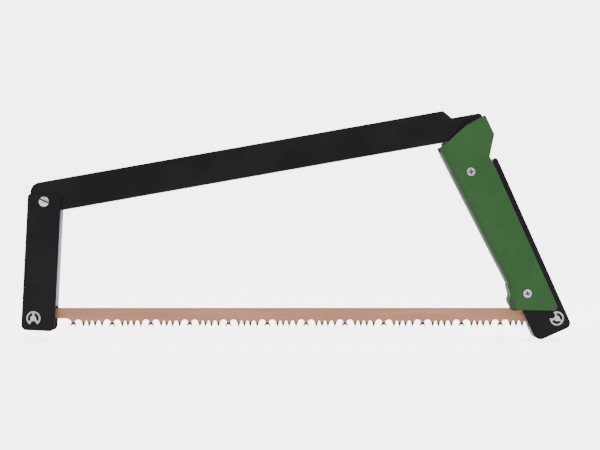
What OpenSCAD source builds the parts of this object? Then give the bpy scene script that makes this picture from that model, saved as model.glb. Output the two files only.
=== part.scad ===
// Folding bow saw with a channel frame, a tension lever and a two-sided grip.
// The frame stands upright in the XZ plane: +X runs along the blade from the front blade pin to the
// rear one, +Z points up from the blade's teeth to its back, and Y is the thickness of the saw.
// The origin is the middle of the whole saw, and the blade lies in the plane y = 0.

/* [Linkage] */
// Distance between the blade's two pins
blade_len = 533; // [531:0.5:538]
// Distance from the front pivot to the front blade pin
arm_len = 119.3; // [115:0.1:124]
// Lean of the front pivot towards the handle, from straight above the front pin, in degrees
arm_lean = 5.1; // [4.6:0.1:5.6]
// Distance between the two pivots of the top bar
top_len = 442.5; // [438:0.5:446]
// Distance from the handle pivot to the rear blade pin
rear_len = 211.3; // [208:0.1:214]
// Distance from the rear blade pin back to the lever's pivot, measured along the handle
lever_arm = 19.3; // [18:0.1:21]

/* [Sections] */
// Overall width of the top bar
bar_w = 16; // [15:0.5:16.5]
// Wall of the bent channels
wall = 1.7; // [1.2:0.1:1.8]
// Gap between two nested channels
gap = 0.5; // [0.4:0.1:0.8]
// Height of the top bar above its front pivot
bar_up = 20.4; // [19:0.1:22]
// Depth of the top bar below its front pivot
bar_down = 11.4; // [11:0.1:12]
// Overall thickness of the grip
grip_w = 31; // [30:0.5:34]
// Radius of the finger side of the grip
grip_round = 9; // [5:0.5:10]

/* [Blade] */
// Thickness of the blade
blade_t = 0.9; // [0.7:0.1:1]
// Height of the blade's back above the pin line
blade_back = 10.1; // [9:0.1:10.5]
// Length of one group of teeth, from raker to raker
tooth_pitch = 39.8; // [39:0.1:40.2]
// Number of tooth groups
tooth_groups = 12; // [4:1:12]
// First raker, behind the front blade pin
first_raker = 39.1; // [34:0.1:39.5]

/* [Pins and screws] */
// Radius of the two frame pivots
pivot_r = 3; // [2.5:0.1:3.2]
// Radius of the blade pins
pin_r = 2.8; // [2.4:0.1:2.9]
// Radius of the retaining clips
clip_r = 7.2; // [6.4:0.1:7.4]
// Radius of the grip screws' heads
screw_r = 4.3; // [4:0.1:4.6]

/* [Place] */
// Middle of the whole saw, behind the front blade pin
middle_x = 267.1; // [262:0.1:272]
// Middle of the whole saw, above the front blade pin
middle_z = 95; // [92:0.1:99]

/* [Hidden] */
$fn = 64;
slip = 0.06; // radial clearance of a turning fit
seat = 0.02; // radial clearance of a fixed fit
eps = 1; // overshoot of a cut

// Half widths of the nested layers, from the middle plane outwards
bar_y = bar_w / 2;
bar_in = bar_y - wall;
arm_in = bar_y + gap;
arm_y = arm_in + wall;
lever_in = arm_y + 0.25;
lever_y = lever_in + wall;
skin_in = lever_y + 0.25;
grip_y = grip_w / 2;

// Pivots in the XZ plane: front pivot A, rear blade pin C and handle pivot D
A = arm_len * [sin(arm_lean), cos(arm_lean)];
C = [blade_len, 0];
span = norm(C - A);
bar_fall = atan2(C[1] - A[1], C[0] - A[0]);
lift = acos((top_len ^ 2 + span ^ 2 - rear_len ^ 2) / (2 * top_len * span));
D = A + top_len * [cos(bar_fall + lift), sin(bar_fall + lift)];
bar_skew = 0.4; // the bar's edges rise a little more than the line between its pivots
bar_tilt = bar_fall + lift + bar_skew;
handle_tilt = atan2(C[1] - D[1], C[0] - D[0]);
D_in_bar = top_len * [cos(bar_skew), -sin(bar_skew)];

// Front arm, in its own frame: origin at the front pin, leaning like its outer edge
arm_tilt = 2.9;
arm_left = -12.2;
arm_right = 21.8;
arm_low = -12.5;
arm_high = 126.8;
A_in_arm = arm_len * [sin(arm_lean - arm_tilt), cos(arm_lean - arm_tilt)];

// Top bar, in its own frame: origin at the front pivot, along its edges
bar_nose = -12.6; // front end
tongue_top = 11.6; // top of the narrow tongue that enters the handle
step_low = 424.3; // foot of the bevelled step
step_high = 417;
tongue_end = D_in_bar[0] + 13;

// Handle, in its own frame: origin at the handle pivot, first axis towards the rear blade pin,
// second axis out to the lever's side
grip_s1 = [39.4, -19.1];
grip_s2 = [175.9, -17.1];
lever_edge = 11.2; // outer face of the lever
lever_tip = 36.5;
lever_end = 224.8;
lever_left = -28.3;
E = [rear_len - lever_arm, -4]; // lever pivot
finger_slope = 2.9; // the finger side runs out this much from the line of the handle
finger_line = -39.7;
head_seat = grip_y - 1.3; // seat of the grip screws' heads

function along(c, r, a0, a1, n) = [for (i = [0:n])
    let (a = a0 + (a1 - a0) * i / n) c + r * [cos(a), sin(a)]];
function turn(a) = (a + 540) % 360 - 180;

// A corner p between a and b, rounded by an arc of radius r
function corner(a, p, b, r) =
    let (u = (a - p) / norm(a - p), v = (b - p) / norm(b - p), half = acos(u * v) / 2)
    let (c = p + (u + v) / norm(u + v) * r / sin(half))
    let (q0 = p + u * r / tan(half) - c, q1 = p + v * r / tan(half) - c)
    let (a0 = atan2(q0[1], q0[0]), a1 = a0 + turn(atan2(q1[1], q1[0]) - a0))
    along(c, r, a0, a1, max(2, ceil(abs(a1 - a0) / 12)));

// An outline from points [x, y, radius of the corner]
function rounded(p) = [for (i = [0:len(p) - 1])
    let (n = len(p), a = p[(i + n - 1) % n], q = p[i], b = p[(i + 1) % n])
    each (q[2] > 0
        ? corner([a[0], a[1]], [q[0], q[1]], [b[0], b[1]], q[2])
        : [[q[0], q[1]]])];

// A side-view outline given thickness from y0 to y1
module side(y0, y1) {
    translate([0, y1, 0]) rotate([90, 0, 0]) linear_extrude(y1 - y0) children();
}

// A round bar along Y at a point of the side view
module rod(p, r, y0, y1) {
    translate([p[0], y1, p[1]]) rotate([90, 0, 0]) cylinder(r = r, h = y1 - y0);
}

module both_sides() {
    children();
    mirror([0, 1, 0]) children();
}

module placed() { translate([-middle_x, 0, -middle_z]) children(); }
module in_bar() { placed() translate([A[0], 0, A[1]]) rotate([0, -bar_tilt, 0]) children(); }
module in_arm() { placed() rotate([0, arm_tilt, 0]) children(); }
module in_handle() { placed() translate([D[0], 0, D[1]]) rotate([0, -handle_tilt, 0]) children(); }

// A washer or bush on both sides of the middle plane
module ring_pair(p, r, hole, y0, y1) {
    both_sides() difference() {
        rod(p, r, y0, y1);
        rod(p, hole, y0 - eps, y1 + eps);
    }
}

// Retaining clip in the shape of an E, around a pin at p, one clip on each side
module clip_pair(p, y0, open_at) {
    groove = pin_r - 0.45;
    both_sides() side(y0, y0 + 0.9) translate(p) rotate(open_at) {
        difference() {
            circle(clip_r);
            circle(clip_r - 1.6);
            polygon([[0, 0], [12, 7], [12, -7]]);
        }
        for (a = [44, 180, 316]) rotate(a) difference() {
            translate([groove, -1.1]) square([clip_r - groove - 0.6, 2.2]);
            circle(groove + seat);
        }
    }
}

// A blade pin from y0 to y1 with a groove for its clip and a dimple in its end
module grooved_pin(p, y0, groove_y, y1) {
    difference() {
        rod(p, pin_r, y0, y1);
        difference() {
            rod(p, pin_r + eps, groove_y, groove_y + 1);
            rod(p, pin_r - 0.45, groove_y - eps, groove_y + 1 + eps);
        }
        rod(p, 0.7, y1 - 0.5, y1 + eps);
    }
}

// ---- top bar ----

module bar_outline() {
    polygon(rounded([
        [bar_nose, -bar_down, 15.8], [tongue_end, -bar_down, 4], [tongue_end, tongue_top, 4],
        [step_low, tongue_top, 2], [step_high, bar_up, 3], [bar_nose, bar_up, 10.5]]));
}

module bar_hollow() {
    polygon(rounded([
        [bar_nose + wall, 4, 0], [bar_nose - 20, 4, 0], [bar_nose - 20, -30, 0],
        [tongue_end + 20, -30, 0], [tongue_end + 20, 40, 0], [step_high - 2, 40, 0],
        [step_high - 2, bar_up - wall, 0], [bar_nose + wall, bar_up - wall, 8.8]]));
}

module top_bar() {
    color([0.13, 0.125, 0.14]) in_bar() difference() {
        side(-bar_y, bar_y) bar_outline();
        side(-bar_in, bar_in) bar_hollow();
        rod([0, 0], pivot_r + seat, -bar_w, bar_w);
        rod(D_in_bar, pivot_r + slip, -bar_w, bar_w);
    }
}

// ---- front pivot ----

module front_pivot_screw() {
    head = arm_y + 0.15;
    color([0.82, 0.81, 0.8]) placed() translate([A[0], 0, A[1]]) difference() {
        union() {
            rotate([90, 0, 0]) rotate_extrude() polygon([
                [0, head], [5.4, head], [5.4, head + 0.7], [4.7, head + 1.35], [3, head + 1.8],
                [0, head + 1.95]]);
            rod([0, 0], 1.9, -head, 5);
        }
        rotate([0, 25, 0]) translate([0, -head - 1.6, 0.9]) cube([14, 1.8, 1.6], center = true);
    }
}

module front_pivot_barrel() {
    head = arm_y + 0.15;
    color([0.82, 0.81, 0.8]) placed() translate([A[0], 0, A[1]]) difference() {
        union() {
            rod([0, 0], pivot_r, -head, head);
            rotate([-90, 0, 0]) rotate_extrude() polygon([
                [0, head], [5.4, head], [5.4, head + 0.7], [4.7, head + 1.35], [3, head + 1.8],
                [0, head + 1.95]]);
        }
        rod([0, 0], 1.9 + seat, -head - eps, 5.2);
    }
}

module front_pivot_washers() {
    color([0.75, 0.74, 0.7]) placed() ring_pair(A, 7.5, pivot_r + seat, bar_y + 0.03, arm_in - 0.03);
}

// ---- handle pivot ----

// Two short flanged pins, so that the blade can pass between them when the saw is folded
module handle_pivot_pins() {
    color([0.7, 0.7, 0.7]) in_handle() both_sides() {
        rod([0, 0], pivot_r, bar_in - 1, arm_y + 0.1);
        rod([0, 0], 4.6, bar_in - 1.2, bar_in - 0.05);
        rod([0, 0], 4.4, arm_y + 0.05, arm_y + 1.4);
    }
}

module handle_pivot_washers() {
    color([0.75, 0.74, 0.7]) placed() ring_pair(D, 5.6, pivot_r + slip, bar_y + 0.03, arm_in - 0.03);
}

// ---- front arm ----

module front_arm() {
    color([0.13, 0.125, 0.14]) in_arm() difference() {
        side(-arm_y, arm_y) polygon(rounded([
            [arm_left, arm_low, 5.5], [arm_right, arm_low, 5.5],
            [arm_right, arm_high, 4.5], [arm_left, arm_high, 3.5]]));
        side(-arm_in, arm_in) translate([arm_left + wall, arm_low - 5]) square([60, 160]);
        rod(A_in_arm, pivot_r + slip, -grip_w, grip_w);
        rod([0, 0], pin_r + seat, -grip_w, grip_w);
    }
}

module front_blade_pin() {
    color([0.72, 0.7, 0.7]) placed() union() {
        grooved_pin([0, 0], -0.01, arm_y + 0.1, arm_y + 2.3);
        mirror([0, 1, 0]) grooved_pin([0, 0], -0.01, arm_y + 0.1, arm_y + 2.3);
    }
}

module front_pin_clips() {
    color([0.85, 0.84, 0.83]) placed() clip_pair([0, 0], arm_y + 0.15, 270);
}

module front_blade_bushes() {
    color([0.1, 0.1, 0.1]) placed() ring_pair([0, 0], 4.6, pin_r + seat, blade_t / 2 + 0.1, arm_in - 0.05);
}

// ---- blade ----

// One group: a forked raker, a wide gullet, four cutting teeth and another wide gullet
tips = [10.5, 16.3, 22.4, 29.5];
tooth_low = -9.2;
tooth_flank = [[0.3, tooth_low], [1, -6.9], [1.6, -5.1], [2.2, -3.7]]; // from a tip up to the gullet beside it
function flank_right(t) = [for (p = tooth_flank) [t + p[0], p[1]]];
function flank_left(t) = [for (i = [len(tooth_flank) - 1:-1:0])
    [t - tooth_flank[i][0], tooth_flank[i][1]]];
tooth_group = concat(
    [[0, -6.9], [1.2, -7.4], [2.6, -9], [3.2, -9], [2.5, -6.6], [1.9, -5], [1.8, -3.9],
        [2.7, -2.7], [4.1, -2.1], [6.4, -2.1], [7.6, -2.7]],
    [for (i = [0:3]) each concat(flank_left(tips[i]), flank_right(tips[i]),
        i < 3 ? [for (d = [-0.4, 0.4]) [(tips[i] + tips[i + 1]) / 2 + d, -2.9]] : [])],
    [[tooth_pitch - 7.4, -2.7], [tooth_pitch - 6.3, -2], [tooth_pitch - 4.3, -2],
        [tooth_pitch - 2.7, -2.7], [tooth_pitch - 1.8, -3.9], [tooth_pitch - 1.9, -5],
        [tooth_pitch - 2.5, -6.6], [tooth_pitch - 3.2, -9], [tooth_pitch - 2.6, -9],
        [tooth_pitch - 1.2, -7.4]]);
teeth_end = first_raker + tooth_pitch * tooth_groups;

module saw_blade() {
    nose = 8.2; // radius of the blade's ends
    back = [for (x = [blade_len - 18, 18]) [x, blade_back]];
    outline = concat(
        along([0, 0], nose, 110, 270, 12),
        [[15, -nose], [19, -0.8], [first_raker - 8, -0.8], [first_raker - 5, -1.4],
            [first_raker - 2.8, -2.8], [first_raker - 1.9, -5], [first_raker - 2.5, -6.6],
            [first_raker - 3.2, -9], [first_raker - 2.6, -9], [first_raker - 1.2, -7.4]],
        [for (i = [0:tooth_groups - 1]) each [for (p = tooth_group)
            p + [first_raker + i * tooth_pitch, 0]]],
        [[teeth_end, -6.9], [teeth_end + 2, -nose + 1]],
        along(C, nose, -70, 70, 12), back);
    color([0.72, 0.55, 0.47]) placed() difference() {
        side(-blade_t / 2, blade_t / 2) polygon(outline);
        rod([0, 0], pin_r + slip, -5, 5);
        rod(C, pin_r + slip, -5, 5);
    }
}

// ---- handle ----

module frame_outline() {
    polygon(rounded([
        [5.2, -36.6, 1], [4.5, -30, 2], [-3.4, -3.5, 3], [-5.2, 14.6, 2],
        [12.6, 15.8, 1], [31.4, 3, 2], [48, 3, 1], [54, 8.4, 2], [E[0] - 8, 8.4, 8],
        [E[0] + 10.3, 2, 8], [E[0] + 10.3, -12, 8], [E[0] - 4, -22, 4],
        [E[0] - 8, -25.5, 3], [12, -34.5, 6]]));
}

module handle_frame() {
    color([0.15, 0.145, 0.16]) in_handle() difference() {
        union() {
            both_sides() side(arm_in, arm_y) frame_outline();
            side(-arm_in, arm_in)
                polygon([[12.6, 15.8], [31.6, 2.3], [30.7, 1], [11.7, 14.5]]);
        }
        rod([0, 0], pivot_r + seat, -grip_w, grip_w);
        rod(E, pivot_r + seat, -grip_w, grip_w);
        for (s = [grip_s1, grip_s2]) rod(s, 2, -grip_w, grip_w);
    }
}

// Blocks that meet the underside of the top bar and stop the handle in its open place
module handle_stop_pads() {
    tilt = bar_tilt - handle_tilt;
    shelf = bar_down + D_in_bar[1] + 0.2;
    color([0.1, 0.1, 0.1]) in_handle() both_sides()
        side(bar_in, arm_in - 0.02) rotate(tilt)
            translate([-32, -shelf - 4]) square([12, 4]);
}

module grip_outline() {
    polygon(rounded([
        [3.9, -39.8, 2.8], [3.1, -30.5, 6], [-2.2, -15.5, 0], [-6, -2.6, 3], [-7.6, 17.6, 2],
        [14, 18.2, 1.5], [33.2, 4.4, 3], [47.3, 5.2, 3], [205, 5.4, 4], [188, -31, 2],
        [160, -31, 0]]));
}

// The swelling that stops the hand at the lower end
module finger_bump() {
    polygon(rounded([
        [158, -29.6, 0], [160, -32.1, 4], [170.7, -33.4, 5], [175.4, -38, 3],
        [186.6, -37.6, 2.5], [188.4, -30.4, 1]]));
}

// The part of the side face that runs out over the swelling
module grip_foot() {
    polygon([[157, -12], [157, -31.6], [160, -32.2], [170.7, -33.4], [175.6, -37.2],
        [186.4, -37],
        [188, -31], [196.9, -12]]);
}

// Everything on the grip's side of a long slab whose finger side is rounded
module rounded_slab(lower, slope) {
    translate([0, 0, -lower]) rotate([0, -slope, 0]) rotate([90, 0, 90]) translate([0, 0, -20])
        linear_extrude(260) union() {
            translate([grip_y - grip_round, finger_line + grip_round]) circle(grip_round);
            translate([0, finger_line]) square([grip_y - grip_round, 80]);
            translate([0, finger_line + grip_round]) square([grip_y, 80]);
        }
}

module grip_half() {
    difference() {
        union() {
            intersection() {
                union() {
                    side(skin_in, grip_y) grip_outline();
                    side(arm_y + 0.03, grip_y) intersection() {
                        grip_outline();
                        union() {
                            translate([-10, -45]) square([42, 56]);
                            translate([10, -45]) square([140, 21]);
                            for (s = [grip_s1, grip_s2]) translate(s) circle(5);
                        }
                    }
                    side(2.5, grip_y) intersection() {
                        grip_outline();
                        polygon([[9, -45], [164, -45], [164, -28.4], [9, -36.3]]);
                    }
                }
                rounded_slab(0, finger_slope);
            }
            intersection() {
                union() {
                    side(2.5, grip_y) finger_bump();
                    side(skin_in, grip_y) grip_foot();
                }
                rounded_slab(7.2, finger_slope);
                rounded_slab(-67.6, -20);
            }
        }
        for (s = [grip_s1, grip_s2]) {
            rod(s, 2.05, 0, grip_w);
            rod(s, screw_r + 0.7, head_seat, grip_w);
        }
        rod([0, 0], 4.7, arm_y, arm_y + 1.6);
    }
}

module grip_near() { color([0.22, 0.42, 0.2]) in_handle() mirror([0, 1, 0]) grip_half(); }
module grip_far() { color([0.22, 0.42, 0.2]) in_handle() grip_half(); }

module grip_screws() {
    color([0.85, 0.83, 0.83]) in_handle() both_sides() for (s = [grip_s1, grip_s2]) difference() {
        union() {
            rod(s, screw_r, head_seat + 0.02, grip_y - 0.1);
            rod(s, screw_r - 0.5, head_seat + 0.02, grip_y + 0.3);
            rod(s, 1.9, arm_in - 2.2, head_seat + 0.5);
        }
        for (a = [10, 100]) translate([s[0], grip_y, s[1]]) rotate([0, a, 0])
            cube([5.6, 1.7, 1.4], center = true);
    }
}

module grip_nuts() {
    color([0.7, 0.7, 0.7]) in_handle() both_sides() for (s = [grip_s1, grip_s2]) difference() {
        translate([s[0], arm_in - 0.02, s[1]]) rotate([90, 0, 0]) cylinder(r = 4, h = 2.2, $fn = 6);
        rod(s, 1.9 + seat, 0, grip_w);
    }
}

module lever_pivot_pins() {
    color([0.7, 0.7, 0.7]) in_handle() both_sides() {
        rod(E, pivot_r, arm_in - 1, lever_y + 0.1);
        rod(E, 4.6, arm_in - 1.5, arm_in - 0.05);
    }
}

// ---- lever ----

module lever_wall() {
    polygon(rounded([
        [lever_tip, 5.9, 2.2], [lever_tip, lever_edge, 2.4], [lever_end, lever_edge, 6],
        [lever_end, lever_left, 8], [190, lever_left - 0.4, 1.5], [190, -17, 4], [178, -10, 6],
        [166, -1, 10], [62, 3.2, 10], [50, 6.6, 4]]));
}

module tension_lever() {
    color([0.13, 0.125, 0.14]) in_handle() difference() {
        union() {
            both_sides() side(lever_in, lever_y) lever_wall();
            side(-lever_in, lever_in)
                translate([lever_tip + 2, lever_edge - wall]) square([E[0] - lever_tip - 10, wall]);
        }
        rod(E, pivot_r + slip, -grip_w, grip_w);
        rod([rear_len, 0], pin_r + seat, -grip_w, grip_w);
    }
}

// The rear pin is in two halves that stop just short of the blade
module rear_blade_pins() {
    color([0.72, 0.7, 0.7]) in_handle() both_sides()
        grooved_pin([rear_len, 0], blade_t / 2 + 0.2, lever_y + 0.1, lever_y + 2.3);
}

module rear_pin_clips() {
    color([0.85, 0.84, 0.83]) in_handle() clip_pair([rear_len, 0], lever_y + 0.15, 215);
}

module rear_blade_bushes() {
    color([0.1, 0.1, 0.1]) in_handle()
        ring_pair([rear_len, 0], 4.6, pin_r + seat, blade_t / 2 + 0.2, lever_in - 0.05);
}

top_bar();
front_pivot_screw();
front_pivot_barrel();
front_pivot_washers();
handle_pivot_pins();
handle_pivot_washers();
front_arm();
front_blade_pin();
front_pin_clips();
front_blade_bushes();
saw_blade();
handle_frame();
grip_near();
grip_far();
grip_screws();
grip_nuts();
handle_stop_pads();
lever_pivot_pins();
tension_lever();
rear_blade_pins();
rear_pin_clips();
rear_blade_bushes();
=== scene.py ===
"""Folding bow saw: looks, floor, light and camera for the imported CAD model. Lengths are in metres."""

from math import cos, pi, radians, sin

import bpy
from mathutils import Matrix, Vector


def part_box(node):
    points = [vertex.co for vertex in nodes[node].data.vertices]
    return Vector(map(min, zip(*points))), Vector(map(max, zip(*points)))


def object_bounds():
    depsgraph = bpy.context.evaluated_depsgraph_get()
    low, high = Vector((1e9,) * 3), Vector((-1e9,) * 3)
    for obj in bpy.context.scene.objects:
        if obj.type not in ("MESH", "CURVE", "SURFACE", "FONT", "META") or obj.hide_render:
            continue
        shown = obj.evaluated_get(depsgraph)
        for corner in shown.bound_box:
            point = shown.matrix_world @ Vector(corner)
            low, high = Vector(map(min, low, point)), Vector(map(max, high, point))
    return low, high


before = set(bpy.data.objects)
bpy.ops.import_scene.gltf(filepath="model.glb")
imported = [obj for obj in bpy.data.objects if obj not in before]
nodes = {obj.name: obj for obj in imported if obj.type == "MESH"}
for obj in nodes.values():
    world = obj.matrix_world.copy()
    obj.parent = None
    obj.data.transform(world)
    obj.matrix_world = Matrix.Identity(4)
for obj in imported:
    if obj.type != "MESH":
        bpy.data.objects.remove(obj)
cad_low, cad_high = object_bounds()

BLACK = (0.0040, 0.0026, 0.0042)
BARE = (0.66, 0.64, 0.78)
GREEN = (0.017, 0.066, 0.014)
GREEN_DARK = (0.010, 0.042, 0.009)
COPPER = (0.46, 0.215, 0.130)
COPPER_DEEP = (0.30, 0.11, 0.055)
TOOTH_DARK = (0.022, 0.016, 0.026)
STEEL = (0.70, 0.66, 0.68)
NYLON = (0.55, 0.53, 0.48)
NYLON_BLACK = (0.016, 0.016, 0.017)


# ---- small helpers for building a material from nodes ----

class Shader:
    """A material under construction. Coordinates are the row frame's, in metres."""

    def __init__(self, name):
        self.material = bpy.data.materials.new(name)
        self.material.use_nodes = True
        self.tree = self.material.node_tree
        self.bsdf = self.tree.nodes["Principled BSDF"]
        self.point = self.new("ShaderNodeTexCoord").outputs["Object"]

    def new(self, kind, **settings):
        made = self.tree.nodes.new(kind)
        for key, value in settings.items():
            setattr(made, key, value)
        return made

    def put(self, socket, value):
        if isinstance(value, bpy.types.NodeSocket):
            self.tree.links.new(value, socket)
        elif isinstance(value, tuple) and len(value) == 3 and socket.type == "RGBA":
            socket.default_value = (*value, 1.0)
        else:
            socket.default_value = value

    def math(self, how, a, b=0.0):
        made = self.new("ShaderNodeMath", operation=how)
        self.put(made.inputs[0], a)
        self.put(made.inputs[1], b)
        return made.outputs[0]

    def scaled(self, factors):
        made = self.new("ShaderNodeMapping")
        self.put(made.inputs["Vector"], self.point)
        made.inputs["Scale"].default_value = factors
        return made.outputs[0]

    def noise(self, scale, detail=3.0, stretch=(1.0, 1.0, 1.0)):
        made = self.new("ShaderNodeTexNoise")
        self.put(made.inputs["Vector"], self.scaled(stretch))
        made.inputs["Scale"].default_value = scale
        made.inputs["Detail"].default_value = detail
        return made.outputs[0]

    def ramp(self, value, low, high, out_low=0.0, out_high=1.0):
        """value from low..high to out_low..out_high, held at the ends."""
        made = self.new("ShaderNodeMapRange", interpolation_type="SMOOTHSTEP")
        self.put(made.inputs["Value"], value)
        for key, number in zip(("From Min", "From Max", "To Min", "To Max"),
                               (low, high, out_low, out_high)):
            made.inputs[key].default_value = number
        return made.outputs[0]

    def mix(self, share, a, b):
        made = self.new("ShaderNodeMix", data_type="RGBA")
        self.put(made.inputs["Factor"], share)
        self.put(made.inputs[6], a)
        self.put(made.inputs[7], b)
        return made.outputs[2]

    def blend(self, share, a, b):
        """A number between a and b."""
        made = self.new("ShaderNodeMix", data_type="FLOAT")
        self.put(made.inputs[0], share)
        self.put(made.inputs[2], a)
        self.put(made.inputs[3], b)
        return made.outputs[0]

    def axis(self, vector, index):
        made = self.new("ShaderNodeSeparateXYZ")
        self.put(made.inputs[0], vector)
        return made.outputs[index]

    def facing(self, direction):
        """How far the surface faces a direction, from -1 to 1."""
        made = self.new("ShaderNodeVectorMath", operation="DOT_PRODUCT")
        self.put(made.inputs[0], self.normal())
        made.inputs[1].default_value = direction
        return made.outputs["Value"]

    def normal(self):
        return self.new("ShaderNodeTexCoord").outputs["Normal"]

    def bump(self, height, strength, distance):
        made = self.new("ShaderNodeBump")
        made.inputs["Strength"].default_value = strength
        made.inputs["Distance"].default_value = distance
        self.put(made.inputs["Height"], height)
        self.put(self.bsdf.inputs["Normal"], made.outputs[0])

    def finish(self, color, roughness, metallic=0.0, coat=0.0, specular=0.5):
        self.put(self.bsdf.inputs["Base Color"], color)
        self.put(self.bsdf.inputs["Roughness"], roughness)
        self.put(self.bsdf.inputs["Metallic"], metallic)
        self.put(self.bsdf.inputs["Coat Weight"], coat)
        self.put(self.bsdf.inputs["Specular IOR Level"], specular)
        self.bsdf.inputs["Coat Roughness"].default_value = 0.3
        return self.material


def channel_paint(name, web_half, inward, bare_from=-1.0):
    """Satin black powder coat outside, bare brushed aluminium inside the bent channel.

    Inner walls face the middle plane. The web's inner face lies within web_half of the middle
    plane and faces inward. Below the height bare_from the inside gets the black outside colour too."""
    s = Shader(name)
    y = s.axis(s.point, 1)
    towards_middle = s.math("MULTIPLY", s.math("SIGN", y), s.axis(s.normal(), 1))
    wall = s.ramp(towards_middle, -0.6, -0.4, 1.0, 0.0)
    near = s.math("LESS_THAN", s.math("ABSOLUTE", y), web_half)
    web = s.math("MULTIPLY", near, s.math("GREATER_THAN", s.facing(inward), 0.8))
    # below bare_from the inside takes the black outside colour instead of bare metal
    above = s.ramp(s.axis(s.point, 2), bare_from, bare_from + 0.0008)
    bare = s.math("MULTIPLY", s.math("MAXIMUM", wall, web), above)

    cloud = s.noise(22.0, 4.0)
    peel = s.noise(1500.0, 2.0)
    dust = s.ramp(s.noise(420.0, 5.0), 0.70, 0.80)
    paint = s.mix(s.ramp(cloud, 0.35, 0.7), BLACK, (0.0065, 0.0045, 0.0065))
    paint = s.mix(s.math("MULTIPLY", dust, 0.25), paint, (0.03, 0.027, 0.03))
    grain = s.noise(60.0, 4.0, (1.0, 1.0, 14.0))
    metal = s.mix(grain, BARE, (0.56, 0.54, 0.66))

    color = s.mix(bare, paint, metal)
    rough = s.blend(bare, s.ramp(cloud, 0.3, 0.7, 0.34, 0.46), s.ramp(grain, 0.3, 0.7, 0.4, 0.55))
    s.bump(peel, 0.10, 0.0002)
    return s.finish(color, rough, s.math("MULTIPLY", bare, 0.35), 0.0, 0.15)


def grip_plastic(name):
    """Green moulded plastic: a fine spark-eroded texture, with painted shade darkening the rounded
    finger side.
    """
    s = Shader(name)
    grain = s.noise(2600.0, 2.0)
    cloud = s.noise(35.0, 4.0)
    # painted shade: the rounded finger side is darkened by how far its surface faces down and away
    finger = s.ramp(s.facing((-sin(radians(66)), 0.0, -cos(radians(66)))), 0.15, 0.9)
    color = s.mix(s.ramp(cloud, 0.3, 0.7), GREEN, (0.021, 0.074, 0.017))
    color = s.mix(s.math("MULTIPLY", finger, 0.6), color, GREEN_DARK)
    color = s.mix(s.math("MULTIPLY", s.ramp(grain, 0.45, 0.7), 0.18), color, GREEN_DARK)
    s.bump(grain, 0.25, 0.0002)
    return s.finish(color, s.ramp(cloud, 0.3, 0.7, 0.42, 0.52), 0.0, 0.0, 0.22)


def blade_steel(name, low, high):
    """Copper-toned steel brushed along its length, a deeper back edge and dark hardened teeth."""
    s = Shader(name)
    z = s.axis(s.point, 2)
    fine = s.noise(30.0, 6.0, (0.6, 4.0, 60.0))
    broad = s.noise(9.0, 3.0, (1.0, 1.0, 12.0))
    color = s.mix(s.ramp(fine, 0.3, 0.7), COPPER, (0.39, 0.18, 0.112))
    color = s.mix(s.ramp(broad, 0.45, 0.75, 0.0, 0.6), color, (0.50, 0.26, 0.17))
    back = s.ramp(z, high - 0.0016, high - 0.0004)
    color = s.mix(s.math("MULTIPLY", back, 0.8), color, COPPER_DEEP)
    ragged = s.math("ADD", z, s.math("MULTIPLY", s.noise(240.0, 3.0), 0.0008))
    hard = s.ramp(ragged, low + 0.0040, low + 0.0056, 1.0, 0.0)
    color = s.mix(hard, color, TOOTH_DARK)
    s.bump(fine, 0.12, 0.0002)
    rough = s.blend(hard, s.ramp(fine, 0.3, 0.7, 0.34, 0.46), 0.38)
    return s.finish(color, rough, s.blend(hard, 0.72, 0.3))


def bright_steel(name, middle, worn=0.16, slot_floor=None):
    """Plated steel turned on a lathe: rings round the Y axis through middle, and light smudges.

    Anything nearer the middle plane than slot_floor, such as a slot's floor, is darkened as painted
    shade."""
    s = Shader(name)
    away = s.new("ShaderNodeVectorMath", operation="SUBTRACT")
    s.put(away.inputs[0], s.point)
    away.inputs[1].default_value = middle
    flat = s.new("ShaderNodeVectorMath", operation="MULTIPLY")
    s.put(flat.inputs[0], away.outputs[0])
    flat.inputs[1].default_value = (1.0, 0.0, 1.0)
    reach = s.new("ShaderNodeVectorMath", operation="LENGTH")
    s.put(reach.inputs[0], flat.outputs[0])
    rings = s.math("SINE", s.math("MULTIPLY", reach.outputs["Value"], 21000.0))
    smudge = s.noise(260.0, 4.0)
    color = s.mix(s.ramp(smudge, 0.35, 0.75), STEEL, (0.54, 0.51, 0.53))
    # painted shade: the slot's floor is darkened to stand in for the shade inside the slot
    if slot_floor:
        depth = s.math("ABSOLUTE", s.axis(s.point, 1))
        recess_shade = s.ramp(depth, slot_floor, slot_floor + 0.0003, 1.0, 0.0)
        color = s.mix(recess_shade, color, (0.03, 0.027, 0.03))
    s.bump(rings, 0.10, 0.00006)
    return s.finish(color, s.ramp(smudge, 0.3, 0.7, 0.20, 0.20 + worn), 0.9)


def screw_head_steel(name, floor_y):
    """Bright cross-recess screws whose recess and rim gap are darkened as painted shade."""
    s = Shader(name)
    depth = s.math("ABSOLUTE", s.axis(s.point, 1))
    # painted shade: everything deeper than floor_y, the recess floor and the rim gap, is darkened
    recess_shade = s.ramp(depth, floor_y - 0.0001, floor_y + 0.0001, 1.0, 0.0)
    smudge = s.noise(320.0, 4.0)
    color = s.mix(s.ramp(smudge, 0.35, 0.75), STEEL, (0.58, 0.55, 0.57))
    color = s.mix(recess_shade, color, (0.05, 0.045, 0.05))
    s.bump(s.noise(1800.0, 2.0), 0.06, 0.0001)
    return s.finish(color, s.blend(recess_shade, s.ramp(smudge, 0.3, 0.7, 0.2, 0.34), 0.6), 0.85)


def spring_steel(name):
    """Stamped retaining clips: bright, with a grain from rolling."""
    s = Shader(name)
    grain = s.noise(90.0, 4.0, (1.0, 1.0, 16.0))
    color = s.mix(s.ramp(grain, 0.3, 0.7), (0.52, 0.50, 0.52), (0.36, 0.345, 0.36))
    s.bump(grain, 0.08, 0.0001)
    return s.finish(color, s.ramp(grain, 0.3, 0.7, 0.22, 0.38), 0.9)


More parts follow.
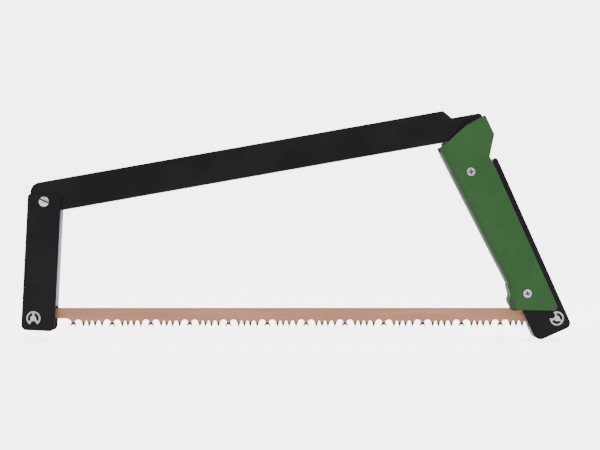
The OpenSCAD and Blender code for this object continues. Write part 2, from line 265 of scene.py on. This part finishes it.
def nylon(name, color):
    """Turned or moulded nylon: waxy, slightly cloudy."""
    s = Shader(name)
    cloud = s.noise(180.0, 4.0)
    darker = tuple(c * 0.8 for c in color)
    s.bump(s.noise(2200.0, 2.0), 0.12, 0.0001)
    return s.finish(s.mix(cloud, color, darker), s.ramp(cloud, 0.3, 0.7, 0.42, 0.58))


def plate_paint(name):
    """The dull black coat of the grip's inner frame, rubbed in places."""
    s = Shader(name)
    cloud = s.noise(55.0, 5.0)
    rubbed = s.ramp(s.noise(130.0, 5.0), 0.62, 0.74)
    color = s.mix(s.math("MULTIPLY", rubbed, 0.35), (0.022, 0.019, 0.022), (0.12, 0.11, 0.12))
    s.bump(s.noise(1400.0, 2.0), 0.14, 0.0002)
    return s.finish(color, s.ramp(cloud, 0.3, 0.7, 0.36, 0.52))


# ---- a material and softened edges for every CAD piece ----

def middle_of(name):
    low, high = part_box(name)
    return tuple((Vector(low) + Vector(high)) / 2)


def soften(obj, width, segments=3):
    """Rounds the sharp edges a little, so that they catch the light."""
    modifier = obj.modifiers.new("soft_edges", "BEVEL")
    modifier.width = width
    modifier.segments = segments
    modifier.limit_method = "ANGLE"
    modifier.angle_limit = radians(40)
    modifier.use_clamp_overlap = True
    modifier.harden_normals = False


blade_low, blade_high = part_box("saw_blade")
screw_low, screw_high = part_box("grip_screws")
LOOKS = {
    "top_bar": (channel_paint("bar_coat", 0.0062, (sin(radians(10)), 0, -cos(radians(10)))), 0.0008),
    "front_arm": (channel_paint("arm_coat", 0.0084, (cos(radians(3)), 0, -sin(radians(3))),
                                blade_high[2] + 0.001), 0.0007),
    "tension_lever": (channel_paint("lever_coat", 0.0103,
                                    (-cos(radians(24)), 0, -sin(radians(24)))), 0.0007),
    "handle_frame": (plate_paint("frame_coat"), 0.0003),
    "saw_blade": (blade_steel("blade_copper", blade_low[2], blade_high[2]), 0.0),
    "grip_near": (grip_plastic("grip_green_near"), 0.0014),
    "grip_far": (grip_plastic("grip_green_far"), 0.0014),
    "grip_screws": (screw_head_steel("grip_screw_steel", screw_high[1] - 0.0007), 0.00025),
    "grip_nuts": (spring_steel("nut_steel"), 0.0002),
    "front_pivot_screw": (bright_steel("slotted_steel", middle_of("front_pivot_screw"), 0.16,
                                       -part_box("front_pivot_screw")[0][1] - 0.0011), 0.0002),
    "front_pivot_barrel": (bright_steel("barrel_steel", middle_of("front_pivot_barrel")), 0.0002),
    "handle_pivot_pins": (bright_steel("hinge_steel", middle_of("handle_pivot_pins")), 0.0002),
    "lever_pivot_pins": (bright_steel("lever_pin_steel", middle_of("lever_pivot_pins")), 0.0002),
    "front_blade_pin": (bright_steel("front_pin_steel", middle_of("front_blade_pin")), 0.0003),
    "rear_blade_pins": (bright_steel("rear_pin_steel", middle_of("rear_blade_pins")), 0.0003),
    "front_pin_clips": (spring_steel("front_clip_steel"), 0.00015),
    "rear_pin_clips": (spring_steel("rear_clip_steel"), 0.00015),
    "front_pivot_washers": (nylon("front_washer_nylon", NYLON), 0.0),
    "handle_pivot_washers": (nylon("hinge_washer_nylon", NYLON), 0.0),
    "front_blade_bushes": (nylon("front_bush_nylon", NYLON_BLACK), 0.0002),
    "rear_blade_bushes": (nylon("rear_bush_nylon", NYLON_BLACK), 0.0002),
    "handle_stop_pads": (nylon("stop_nylon", NYLON_BLACK), 0.0004),
}

for name, obj in nodes.items():
    material, width = LOOKS[name]
    obj.data.materials.clear()
    obj.data.materials.append(material)
    for face in obj.data.polygons:
        face.use_smooth = True
    obj.data.set_sharp_from_angle(angle=radians(32))
    if width:
        soften(obj, width)


# ---- floor that sweeps up into a backdrop ----

def sweep(floor_z):
    """A pale studio sweep: a flat floor, a rounded corner behind it and a wall."""
    reach, corner, top, half = 2.2, 0.9, 4.0, 6.0
    line = [(-5.0, floor_z), (reach, floor_z)]
    line += [(reach + corner * sin(pi / 2 * i / 16), floor_z + corner * (1 - cos(pi / 2 * i / 16)))
             for i in range(1, 17)]
    line += [(reach + corner, floor_z + top)]
    points = [(x, y, z) for y, z in line for x in (-half, half)]
    faces = [(2 * i, 2 * i + 1, 2 * i + 3, 2 * i + 2) for i in range(len(line) - 1)]
    mesh = bpy.data.meshes.new("studio_sweep")
    mesh.from_pydata(points, [], faces)
    obj = bpy.data.objects.new("studio_sweep", mesh)
    bpy.context.collection.objects.link(obj)
    for face in mesh.polygons:
        face.use_smooth = True
    s = Shader("studio_paper")
    cloud = s.noise(3.0, 3.0)
    s.bsdf.inputs["Emission Color"].default_value = (1.0, 1.0, 1.0, 1.0)
    seen = s.new("ShaderNodeLightPath").outputs["Is Camera Ray"]
    s.put(s.bsdf.inputs["Emission Strength"], s.blend(seen, 0.2, 3.6))
    mesh.materials.append(s.finish(s.mix(cloud, (0.90, 0.90, 0.90), (0.87, 0.87, 0.875)), 0.8,
                                   0.0, 0.0, 0.2))


sweep(cad_low[2] - 0.0004)


# ---- light ----

def area_light(name, place, target, size, power):
    data = bpy.data.lights.new(name, "AREA")
    data.shape = "RECTANGLE"
    data.size, data.size_y = size
    data.energy = power
    obj = bpy.data.objects.new(name, data)
    obj.location = place
    obj.rotation_euler = (Vector(target) - Vector(place)).to_track_quat("-Z", "Y").to_euler()
    bpy.context.collection.objects.link(obj)


area_light("key_light", (1.0, -1.2, 1.5), (0, 0, 0), (1.2, 1.2), 34)
area_light("fill_light", (-1.5, -1.5, 0.6), (0, 0, 0), (1.2, 1.4), 10)
area_light("top_light", (0.1, 0.3, 1.6), (0, 0, 0), (1.6, 0.6), 24)
area_light("wall_light", (0.0, 0.9, 2.2), (0, 2.6, 0.5), (3.0, 1.0), 60)

world = bpy.data.worlds.new("studio_air")
world.use_nodes = True
world.node_tree.nodes["Background"].inputs["Color"].default_value = (0.96, 0.97, 1.0, 1.0)
world.node_tree.nodes["Background"].inputs["Strength"].default_value = 0.75
bpy.context.scene.world = world


# ---- camera, square to the side of the saw ----

middle = (Vector(cad_low) + Vector(cad_high)) / 2
lens = bpy.data.cameras.new("camera")
lens.sensor_width = 36.0
lens.lens = 93.8
camera = bpy.data.objects.new("camera", lens)
camera.location = (middle.x + 0.0045, cad_low[1] - 1.588, middle.z)
camera.rotation_euler = (radians(90), 0.0, 0.0)
bpy.context.collection.objects.link(camera)
bpy.context.scene.camera = camera
